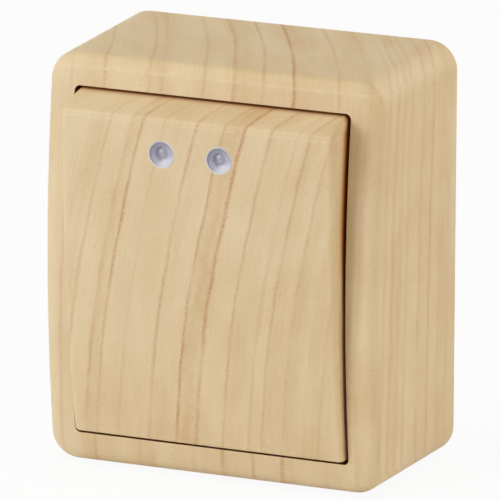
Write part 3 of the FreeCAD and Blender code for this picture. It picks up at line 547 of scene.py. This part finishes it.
def moulded(name, colour, roughness=0.42, grain=1.0):
    """Moulded plastic: fine spark texture, faint flow streaks and a slight change of tone."""
    finish = Finish(name, IOR=1.46, Specular_IOR_Level=0.4)
    x, out, z = finish.axes()
    tone = finish.noise(x * 0.10, out * 0.10, z * 0.10, 3.0)
    flow = finish.noise(x * 0.5, out * 0.06, z * 0.12, 2.0)
    spark = finish.noise(x * 7.0, out * 7.0, z * 7.0, 2.0)
    darker = dimmed(colour, (0.86, 0.86, 0.86))
    finish.set("Base Color", finish.blend((tone * 0.8 + flow * 0.5 + 0.4).held(), tuple(colour), darker))
    finish.set("Roughness", spark * 0.14 + tone * 0.1 + roughness)
    finish.bump(spark, 0.02 * MM * grain, 0.6)
    return finish.material


def metal(name, colour, roughness, brushed=1.0):
    """Stamped or turned metal: fine drawing lines, dull spots and a little tarnish."""
    finish = Finish(name, Metallic=1.0)
    x, out, z = finish.axes()
    lines = finish.noise(x * 9.0, out * 1.2, z * 0.6, 2.0)
    spots = finish.noise(x * 0.7, out * 0.7, z * 0.7, 4.0, 0.6)
    tarnish = dimmed(colour, (0.72, 0.62, 0.5))
    mixed = (spots * 1.6 + lines * 0.3 + 0.22).held()
    finish.set("Base Color", finish.blend(mixed, tuple(colour), tarnish))
    finish.set("Roughness", lines * 0.22 * brushed + spots * 0.2 + roughness)
    finish.bump(lines, 0.01 * MM, 0.5)
    return finish.material


def plated(name, colour):
    """Zinc plate: bright with a cool bloom and fine turning marks."""
    finish = Finish(name, Metallic=1.0)
    x, out, z = finish.axes()
    bloom = finish.noise(x * 0.6, out * 0.6, z * 0.6, 4.0, 0.6)
    turning = finish.noise(x * 3.0, out * 12.0, z * 3.0, 1.0)
    cool = dimmed(colour, (0.68, 0.72, 0.8))
    finish.set("Base Color", finish.blend((bloom * 1.8 + 0.3).held(), tuple(colour), cool))
    finish.set("Roughness", bloom * 0.3 + turning * 0.12 + 0.34)
    finish.bump(turning, 0.01 * MM, 0.4)
    return finish.material


def lens_plastic(name, lens, height):
    """Clear plug: a cool tint with painted shade on its upper left and on the left side of its knob,
    darker towards its middle where the light pipe runs in, painted light on its lower right and a pale
    rim, and a seam ring inside the rim, laid strongest on its upper side as a painted shadow of the rim.
    Height is that of the lenses' middle, in metres."""
    finish = Finish(name, IOR=1.5, Specular_IOR_Level=0.5, Coat_Roughness=0.22)
    finish.set("Coat Weight", 0.22)
    x, _, z = finish.axes()
    middle = x - LENS_OFFSET
    dx, dz = middle - middle.sign() * (LENS_SPACING / 2), z - height / MM
    radius = (dx * dx + dz * dz) ** 0.5
    dish_edge = (lens.radius - lens.rim) / MM
    # the light falls from the upper left: the dish is painted in shade there and in light on its lower
    # right
    lower_right = dx * 0.22 - dz * 0.42
    ring = finish.noise(radius * 4.0, 0.0, 7.0, 1.0)
    # painted shade on the knob's left side and the dish's upper left, and darker towards the middle
    knob_shade = radius.step(0.35, 0.75) * (1.0 - radius.step(1.1, 1.5)) * (1.0 - dx.step(-0.6, 0.2))
    shade_and_pipe_mask = ((1.0 - lower_right.step(-0.8, 0.2)) * 0.55 + knob_shade * 0.5
            + (1.0 - radius.step(0.8, 1.5)) * 0.28)
    # painted light on the dish's lower right; the rim takes the same pale tint
    pale = lower_right.step(0.3, 0.9) * radius.step(1.0, 1.5) * 0.75
    rim = radius.step(dish_edge, dish_edge + 0.06) * 0.7
    # the seam ring is laid strongest on the upper side, a painted shadow of the rim
    seam = (radius.step(dish_edge - 0.18, dish_edge - 0.08)
            * (1.0 - radius.step(dish_edge - 0.04, dish_edge + 0.02))
            * (1.0 - lower_right.step(0.1, 0.8) * 0.7) * 0.75)
    shade_and_pipe = (shade_and_pipe_mask + ring * 0.2).held() * (1.0 - rim)
    shade = tuple(lens.tint)
    for factor, colour in ((shade_and_pipe, lens.shade_and_pipe_tint), (pale.most(rim), lens.pale), (seam, lens.seam)):
        shade = finish.blend(factor, shade, tuple(colour))
    finish.set("Base Color", shade)
    finish.set("Roughness", ring * 0.06 + 0.36)
    return finish.material


def lamp_plastic(name, colour):
    """Lamp resin: milky with a slightly denser core."""
    finish = Finish(name, IOR=1.5, Specular_IOR_Level=0.6)
    finish.set("Coat Weight", 0.6)
    x, out, z = finish.axes()
    cloud = finish.noise(x * 0.9, out * 0.5, z * 0.9, 3.0)
    dense = dimmed(colour, (0.8, 0.8, 0.8))
    finish.set("Base Color", finish.blend((cloud * 1.6 + 0.4).held(), tuple(colour), dense))
    finish.set("Roughness", cloud * 0.08 + 0.14)
    return finish.material


def board_lacquer(name, colour):
    """Lacquered board: rows of tracks under the lacquer, with gaps, and a woven ground."""
    finish = Finish(name, IOR=1.5, Specular_IOR_Level=0.5)
    finish.set("Coat Weight", 0.4)
    x, _, z = finish.axes()
    weave = (x * 9.0).math("SINE") * (z * 9.0).math("SINE")
    rows = abs((z * 1.15).math("SINE")).step(0.82, 0.9)
    gaps = abs((x * 0.21 + 0.5).math("SINE")).step(0.1, 0.2)
    light = tuple(min(1.0, part * 1.9 + 0.01) for part in colour)
    ground = finish.blend((weave * 0.12 + 0.2).held(), tuple(colour), light)
    finish.set("Base Color", finish.blend(rows * gaps * 0.8, ground, light))
    finish.set("Roughness", weave * 0.05 + 0.32)
    finish.bump(rows * gaps + weave * 0.2, 0.03 * MM, 0.7)
    return finish.material


def resistor_paint(name, colour):
    """Lacquered resistor: plain coloured bands round its body along x and bare wire past its ends."""
    finish = Finish(name, IOR=1.5, Specular_IOR_Level=0.5)
    x, out, z = finish.axes()
    cloud = finish.noise(x * 1.2, out * 1.2, z * 1.2, 3.0)
    darker = dimmed(colour, (0.85, 0.85, 0.85))
    shade = finish.blend((cloud * 1.4 + 0.4).held(), tuple(colour), darker)
    bands = ((-2.1, display(120, 66, 40)), (-1.1, display(58, 60, 66)), (-0.1, display(196, 120, 40)),
             (1.9, display(190, 156, 80)))
    for middle, paint in bands:
        shade = finish.blend(1.0 - abs(x - middle).step(0.26, 0.34), shade, paint)
    wire = abs(x).step(3.2, 3.25)
    finish.set("Base Color", finish.blend(wire, shade, display(196, 198, 200)))
    finish.set("Metallic", wire)
    finish.set("Roughness", cloud * 0.1 + 0.34)
    return finish.material


def clothe(names, material):
    """Gives CAD nodes a material, in the slots they already have."""
    for name in names:
        node = frame["nodes"][name]
        if not node.material_slots:
            node.data.materials.append(material)
        for slot in node.material_slots:
            slot.material = material


def turned_profile(radius, height, origin, axis, sides=96):
    """A shape turned on a lathe: point = origin + height * axis + radius * (cos a, sin a) in the plane
    across the axis, for each row of the profile and each angle a. Its ends lie on the axis, closed."""
    axis = axis / np.linalg.norm(axis)
    first = np.cross(axis, (1.0, 0.0, 0.0))
    first /= np.linalg.norm(first)
    second = np.cross(axis, first)
    angle = np.arange(sides) * (2 * math.pi / sides)
    around = np.cos(angle)[:, None] * first + np.sin(angle)[:, None] * second
    inner_radius, inner_height = radius[1:-1], height[1:-1]
    rings = origin + inner_height[:, None, None] * axis + inner_radius[:, None, None] * around[None]
    rows = len(inner_radius)
    ends = origin + height[[0, -1], None] * axis
    points = np.concatenate([rings.reshape(-1, 3), ends])
    row, col = np.meshgrid(np.arange(rows - 1), np.arange(sides), indexing="ij")
    here, beside = row * sides + col, row * sides + (col + 1) % sides
    quads = np.stack([here, beside, beside + sides, here + sides], -1).reshape(-1, 4)
    col = np.arange(sides)
    low = np.stack([np.full(sides, rows * sides), (col + 1) % sides, col], -1)
    last = (rows - 1) * sides
    high = np.stack([np.full(sides, rows * sides + 1), last + col, last + (col + 1) % sides], -1)
    return points, quads, np.concatenate([low, high])


def add_piece(name, points, quads, triangles, material, smooth=True):
    """A mesh object at the origin from arrays of points, quads and triangles."""
    mesh = bpy.data.meshes.new(name)
    faces = [tuple(face) for face in quads.tolist()] + [tuple(face) for face in triangles.tolist()]
    mesh.from_pydata(points.tolist(), [], faces)
    mesh.polygons.foreach_set("use_smooth", np.full(len(faces), smooth))
    mesh.materials.append(material)
    mesh.validate()
    piece = bpy.data.objects.new(name, mesh)
    bpy.context.scene.collection.objects.link(piece)
    return piece


def rocker_front_place(x, up):
    """A point on the rocker's front, in metres, and the direction it faces. x and up are in millimetres,
    and up is measured along the rocker."""
    angle = math.asin(up / ROCKER_ARC)
    level_out = ARC_CENTRE + ROCKER_ARC * math.cos(angle)
    cos, sin = math.cos(ROCKER_TILT), math.sin(ROCKER_TILT)
    out = PIVOT_OUT + level_out * cos + up * sin
    z = up * cos - level_out * sin
    facing_out = math.cos(angle) * cos + math.sin(angle) * sin
    facing_up = math.sin(angle) * cos - math.cos(angle) * sin
    return np.array((x, -out, z)) * MM, np.array((0.0, -facing_out, facing_up))


def lens_profile(sizes):
    """The lens from its light pipe's end past the flange, up its side to the rim, down the dish and up to
    the knob's middle. With r from the axis and R the dish's radius, the dish is at
    stand - depth * (1 - (r / R)^2)^0.8 and the knob adds height * ((1 + cos(pi r / its radius)) / 2)^0.55.
    Two bell curves, exp(-(d / width)^2), cut a lip inside the rim and a dimple in the knob."""
    pipe, flange, edge = 1.5 * MM, 3.2 * MM, sizes.radius
    wall = 1.8 * MM
    pipe_end, flange_back, flange_front = -wall - 7.0 * MM, -wall - 0.8 * MM, -wall - 0.04 * MM
    rounding = 0.08 * MM
    dish_radius = edge - sizes.rim
    lip_depth, lip_width, dimple_depth, dimple_width = 0.05 * MM, 0.12 * MM, 0.07 * MM, 0.22 * MM
    turn = np.linspace(0.0, math.pi / 2, 7)
    outer_r = edge - rounding + rounding * np.cos(turn)
    outer_h = sizes.stand - rounding + rounding * np.sin(turn)
    r = np.linspace(dish_radius, 0.0, 60)
    dish = sizes.stand - sizes.dish * (1 - (r / dish_radius) ** 2) ** 0.8
    lip = lip_depth * np.exp(-((dish_radius - r) / lip_width) ** 2)
    rise = 0.5 + 0.5 * np.cos(np.clip(r / sizes.boss_radius, 0, 1) * math.pi)
    knob = sizes.boss_height * rise ** 0.55
    dimple = dimple_depth * np.exp(-(r / dimple_width) ** 2)
    start_r = [0.0, pipe, pipe, flange, flange, edge, edge]
    start_h = [pipe_end, pipe_end, flange_back, flange_back, flange_front, flange_front,
               sizes.stand - rounding]
    radius = np.concatenate([start_r, outer_r[1:], r])
    height = np.concatenate([start_h, outer_h[1:], dish - lip + knob - dimple])
    return radius, height


class SWITCH_OT_film(bpy.types.Operator):
    """Dress the cover and the rocker in printed wood film"""
    bl_idname = "switch.film"
    bl_label = "Wood film"

    def execute(self, context):
        colours = context.scene.switch_film
        clothe(["cover"], cover_film(colours))
        clothe(["rocker_cap"], rocker_film(colours))
        return {"FINISHED"}


class SWITCH_OT_lenses(bpy.types.Operator):
    """Make the two dished lenses with their rims and light pipes"""
    bl_idname = "switch.lenses"
    bl_label = "Lenses"

    def execute(self, context):
        sizes = context.scene.switch_lens
        places = {side: rocker_front_place(LENS_OFFSET + shift * LENS_SPACING / 2, LENS_UP)
                  for side, shift in (("left", -1), ("right", 1))}
        plastic = lens_plastic("lens_clear_plastic", sizes, places["left"][0][2])
        radius, height = lens_profile(sizes)
        for side, (place, facing) in places.items():
            plug = turned_profile(radius, height, place, facing)
            piece = add_piece("lens_plug_" + side, *plug, plastic)
            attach(piece, "rocker")
            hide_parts("lens_" + side)
        return {"FINISHED"}


class SWITCH_OT_mouldings(bpy.types.Operator):
    """Dress the base, housing, cradle and plunger in moulded plastic"""
    bl_idname = "switch.mouldings"
    bl_label = "Mouldings"

    def execute(self, context):
        colours = context.scene.switch_plastics
        clothe(["base", "rocker_cradle", "plunger"], moulded("white_moulding", colours.white))
        clothe(["mechanism_housing"], moulded("grey_moulding", colours.grey, 0.5, 1.4))
        return {"FINISHED"}


class SWITCH_OT_metalwork(bpy.types.Operator):
    """Dress the strips, lever, contacts and terminals in metal"""
    bl_idname = "switch.metalwork"
    bl_label = "Metalwork"

    def execute(self, context):
        colours = context.scene.switch_metals
        strips = ["fulcrum_strip", "load_strip", "contact_lever"]
        clothe(strips, metal("strip_brass", colours.brass, 0.3))
        clothe(["line_terminal", "load_terminal"], metal("cast_brass", colours.brass, 0.38, 0.5))
        silver = metal("contact_silver", colours.silver, 0.28, 0.4)
        clothe(["fixed_contact", "moving_contact"], silver)
        return {"FINISHED"}


class SWITCH_OT_fasteners(bpy.types.Operator):
    """Dress the screws, spring and leads in zinc plate"""
    bl_idname = "switch.fasteners"
    bl_label = "Fasteners"

    def execute(self, context):
        names = [name for name in frame["nodes"] if "screw" in name]
        names += ["plunger_spring", "line_indicator_lead", "load_indicator_lead"]
        clothe(names, plated("zinc_plate", context.scene.switch_metals.zinc))
        return {"FINISHED"}


class SWITCH_OT_indicator(bpy.types.Operator):
    """Dress the indicator board, its lamps and its resistor"""
    bl_idname = "switch.indicator"
    bl_label = "Indicator"

    def execute(self, context):
        colours = context.scene.switch_plastics
        clothe(["indicator_board"], board_lacquer("board_lacquer", colours.board))
        clothe(["led_left", "led_right"], lamp_plastic("lamp_resin", colours.lamp))
        clothe(["dropper_resistor"], resistor_paint("resistor_paint", colours.resistor))
        return {"FINISHED"}


def seen_directly(nodes):
    """1 for rays that show the stage itself: from the camera, or by way of a gloss or clear surface."""
    ray = nodes.node("ShaderNodeLightPath").socket.node.outputs
    camera, glossy, clear = (Value(nodes, ray["Is " + kind + " Ray"])
                             for kind in ("Camera", "Glossy", "Transmission"))
    return camera.most(glossy).most(clear)


def paper_floor():
    """White paper: a plain floor that shows nearly white and keeps the object's shadow."""
    finish = Finish("paper_floor", Roughness=0.9, Specular_IOR_Level=0.1)
    x, out, _ = finish.axes()
    cloud = finish.noise(x * 0.02, out * 0.02, 0.0, 2.0)
    finish.set("Base Color", finish.blend((cloud + 0.4).held(), (0.93, 0.93, 0.93), (0.90, 0.90, 0.90)))
    glow = finish.node("ShaderNodeEmission", None, {"Color": WHITE, "Strength": 1.0})
    finish.show(seen_directly(finish) * 0.92, finish.shader.outputs[0], glow.socket, finish.out)
    return finish.material


def white_sky(strength):
    """An even white light all round, which shows as plain white."""
    world = bpy.data.worlds.new("white_sky")
    world.use_nodes = True
    bpy.context.scene.world = world
    sky = Nodes(world.node_tree)
    light, shown = (sky.node("ShaderNodeBackground", None, {"Color": WHITE, "Strength": level}).socket
                    for level in (strength, 1.0))
    sky.show(seen_directly(sky), light, shown, sky.tree.nodes.new("ShaderNodeOutputWorld"))


def add_lamp(name, watts, size, place, colour):
    """A square soft lamp at a place, aimed at the object."""
    lamp = bpy.data.lights.new(name, "AREA")
    lamp.energy = watts
    lamp.color = colour
    lamp.size = size
    thing = bpy.data.objects.new(name, lamp)
    bpy.context.scene.collection.objects.link(thing)
    thing.location = place
    aim = Vector(LAMP_TARGET) - Vector(place)
    thing.rotation_euler = aim.to_track_quat("-Z", "Y").to_euler()


def add_camera(view):
    """The camera of the photograph: yaw to the right, pitch down and a small roll."""
    right = np.array((math.cos(view.yaw), math.sin(view.yaw), 0.0))
    back = np.array((math.sin(view.yaw), -math.cos(view.yaw), 0.0))
    ahead = -(back * math.cos(view.pitch) + np.array((0.0, 0.0, math.sin(view.pitch))))
    upward = np.cross(right, ahead)
    side = right * math.cos(view.roll) + upward * math.sin(view.roll)
    top = -right * math.sin(view.roll) + upward * math.cos(view.roll)
    camera = bpy.data.cameras.new("camera")
    camera.lens = view.focal
    camera.sensor_width = SENSOR_WIDTH
    camera.clip_start, camera.clip_end = 0.05, 20.0
    thing = bpy.data.objects.new("camera", camera)
    bpy.context.scene.collection.objects.link(thing)
    target = (side * VIEW_ACROSS + top * VIEW_UP) * MM
    place = target - ahead * view.distance
    turn = Matrix(np.stack([side, top, -ahead], 1).tolist()).to_4x4()
    thing.matrix_world = Matrix.Translation(Vector(place)) @ turn
    bpy.context.scene.camera = thing


class SWITCH_OT_stage(bpy.types.Operator):
    """Set the floor, the lights and the camera"""
    bl_idname = "switch.stage"
    bl_label = "Stage"

    def execute(self, context):
        stage = context.scene.switch_stage
        corners = np.array(((-1, -1, 0), (1, -1, 0), (1, 1, 0), (-1, 1, 0))) * FLOOR_HALF
        corners[:, 2] = CAD_BOX[0].z
        quad, no_triangles = np.array(((0, 1, 2, 3),)), np.zeros((0, 3), int)
        add_piece("floor", corners, quad, no_triangles, paper_floor(), smooth=False)
        white_sky(stage.sky)
        for name, size, place, colour in (
                ("key", 0.42, (-0.50, -0.76, 0.16), stage.cool_light),
                ("fill", 0.6, (0.92, -0.10, 0.1), stage.warm_light),
                ("top", 0.6, (-0.1, -0.15, 0.95), stage.warm_light),
                ("rear", 0.6, (0.15, 1.0, 0.1), WHITE)):
            add_lamp(name, getattr(stage, name), size, place, colour)
        add_camera(stage)
        context.scene.view_settings.view_transform = "Standard"
        return {"FINISHED"}


class SWITCH_PT_panel(bpy.types.Panel):
    """The switch's sizes, colours and steps."""
    bl_idname = "SWITCH_PT_panel"
    bl_label = "Light switch"
    bl_space_type = "VIEW_3D"
    bl_region_type = "UI"
    bl_category = "Switch"

    def draw(self, context):
        for name in GROUPS:
            group = getattr(context.scene, name)
            box = self.layout.box()
            for field in group.bl_rna.properties:
                if field.identifier not in ("rna_type", "name"):
                    box.prop(group, field.identifier)
        for step in STEPS:
            self.layout.operator(step.bl_idname)


GROUPS = {
    "switch_film": SwitchFilm,
    "switch_lens": SwitchLens,
    "switch_plastics": SwitchPlastics,
    "switch_metals": SwitchMetals,
    "switch_stage": SwitchStage,
}
STEPS = (SWITCH_OT_film, SWITCH_OT_lenses, SWITCH_OT_mouldings, SWITCH_OT_metalwork, SWITCH_OT_fasteners,
         SWITCH_OT_indicator, SWITCH_OT_stage)


def register():
    for name, group in GROUPS.items():
        bpy.utils.register_class(group)
        setattr(bpy.types.Scene, name, bpy.props.PointerProperty(type=group))
    for thing in (*STEPS, SWITCH_PT_panel):
        bpy.utils.register_class(thing)


def unregister():
    for thing in (SWITCH_PT_panel, *reversed(STEPS)):
        bpy.utils.unregister_class(thing)
    for name, group in GROUPS.items():
        delattr(bpy.types.Scene, name)
        bpy.utils.unregister_class(group)


def main():
    """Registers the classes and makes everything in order."""
    register()
    for step in STEPS:
        group, action = step.bl_idname.split(".")
        getattr(getattr(bpy.ops, group), action)()


if __name__ == "__main__":
    main()
